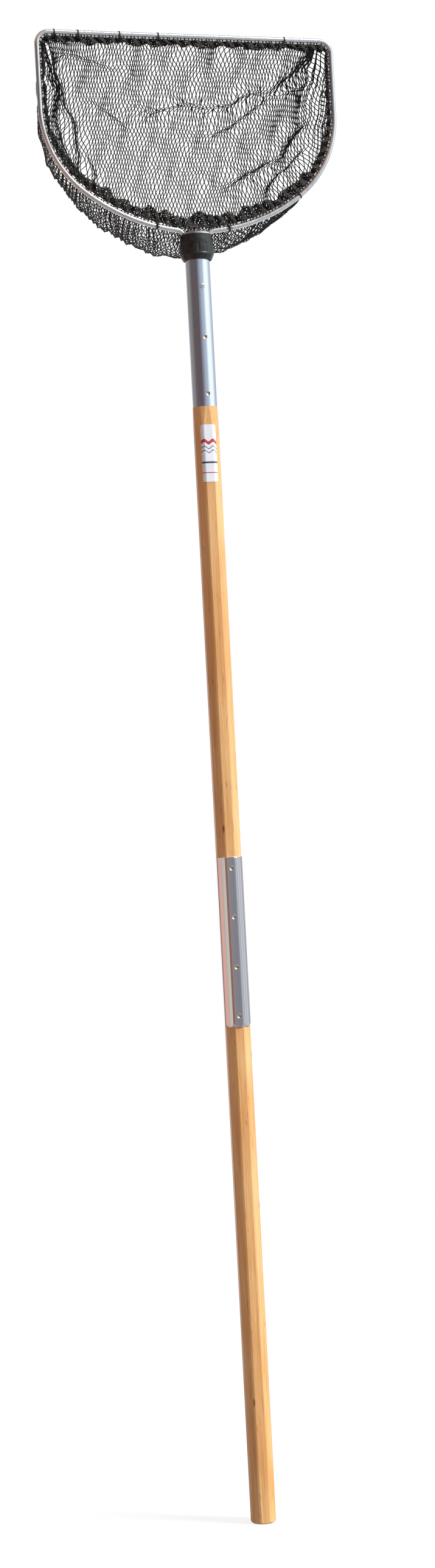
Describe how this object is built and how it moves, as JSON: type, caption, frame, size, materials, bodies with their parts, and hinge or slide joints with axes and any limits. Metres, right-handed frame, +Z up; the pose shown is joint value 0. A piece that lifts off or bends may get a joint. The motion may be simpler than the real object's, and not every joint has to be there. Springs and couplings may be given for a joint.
{
  "type": "landing net",
  "caption": "Long-handled landing net: octagonal wooden pole in halves, screwed metal sleeve, round ferrule, union nut, and a D-shaped hoop with a knotted net bag.",
  "frame": {"origin": "centre of the pole's flat butt face", "axes": "+Z up the pole to the hoop, X across the hoop, the bag hangs behind the hoop towards +Y"},
  "size_m": [0.514, 0.216, 2.4485],
  "materials": {
    "varnished_wood": "clear varnish over pale straight-grained softwood",
    "bright_tube": "drawn tube, lightly polished",
    "sleeve_metal": "eight-sided drawn tube with long die lines",
    "zinc_screw": "bright zinc plate",
    "black_nylon": "moulded, fine grain",
    "natural_nylon": "smooth",
    "seal_rubber": "smooth",
    "turned_metal": "turned",
    "hoop_rod": "bright drawn rod",
    "plain_wire": "plain wire",
    "black_cord": "braided cord",
    "net_twine": "knotted black twine",
    "vinyl_label": null
  },
  "bodies": {
    "pole": {"lower_pole": "varnished_wood", "upper_pole": "varnished_wood", "joint_sleeve": "sleeve_metal", "sleeve_screws_lower": "zinc_screw", "sleeve_screws_upper": "zinc_screw", "pole_label": "vinyl_label", "ferrule_tube": "bright_tube", "ferrule_screws": "zinc_screw", "ferrule_rivet": "turned_metal", "socket_bush": "black_nylon"},
    "nut_slide": {"slip_washer": "natural_nylon"},
    "nut": {"union_nut": "black_nylon"},
    "head_seat": {"seat_washer": "seal_rubber"},
    "head": {"head_plug": "turned_metal", "head_spigot": "turned_metal", "hoop": "hoop_rod", "rim_wire": "plain_wire", "top_ties": "black_cord", "lower_ties": "black_cord", "net_bag": "net_twine"}
  },
  "joints": [
    {"name": "nut_travel", "type": "slide", "parent": "pole", "child": "nut_slide", "axis": [0, 0, -1], "range_m": [0, 0.024]},
    {"name": "nut_turn", "type": "hinge", "parent": "nut_slide", "child": "nut", "pos_m": [0, 0, 2.0945], "axis": [0, 0, -1], "range_deg": [0, 1440]},
    {"name": "head_lift", "type": "slide", "parent": "pole", "child": "head_seat", "axis": [0, 0, 1], "range_m": [0, 0.08]},
    {"name": "head_swivel", "type": "hinge", "parent": "head_seat", "child": "head", "pos_m": [0, 0, 2.0905], "axis": [0, 0, 1], "continuous": true}
  ],
  "couplings": [
    {"joint": "nut_turn", "follows": "nut_travel", "rad_per_m": 1047.2}
  ]
}
